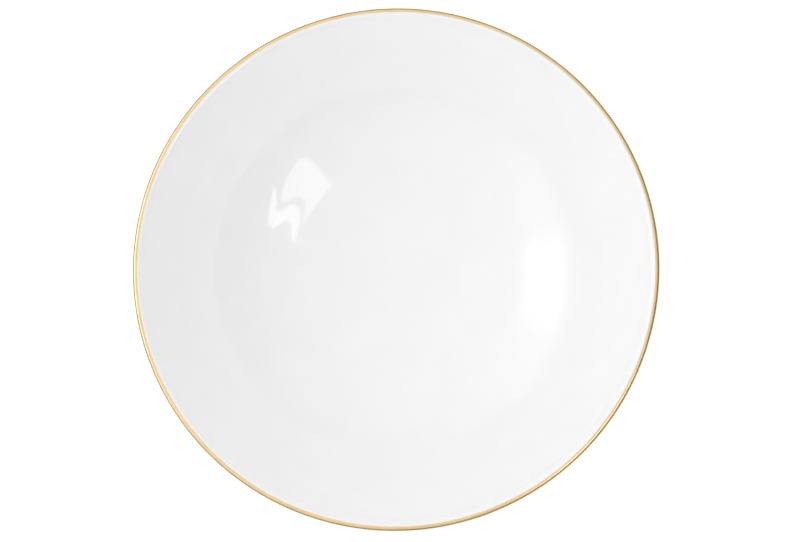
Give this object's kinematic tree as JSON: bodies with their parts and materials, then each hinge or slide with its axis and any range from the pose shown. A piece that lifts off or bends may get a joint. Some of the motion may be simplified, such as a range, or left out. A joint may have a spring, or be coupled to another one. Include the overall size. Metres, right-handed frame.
{
  "type": "porcelain serving bowl",
  "caption": "Round deep serving bowl in white glazed porcelain with a plain interior, a rounded lip banded in gold and a low foot ring.",
  "frame": {"origin": "centre of the foot ring's standing plane, on the bowl's axis", "axes": "+Z along the bowl's axis, from the table up through the open mouth; X and Y lie in the table plane and are interchangeable, because the bowl is round"},
  "size_m": [0.25, 0.25, 0.088],
  "materials": {
    "bare_porcelain": "matte",
    "white_glaze": "gloss",
    "burnished_gold": "satin"
  },
  "bodies": {
    "root": {"porcelain_body": "bare_porcelain", "glaze_coat": "white_glaze", "recess_glaze": "white_glaze", "gold_rim_band": "burnished_gold"}
  },
  "joints": []
}
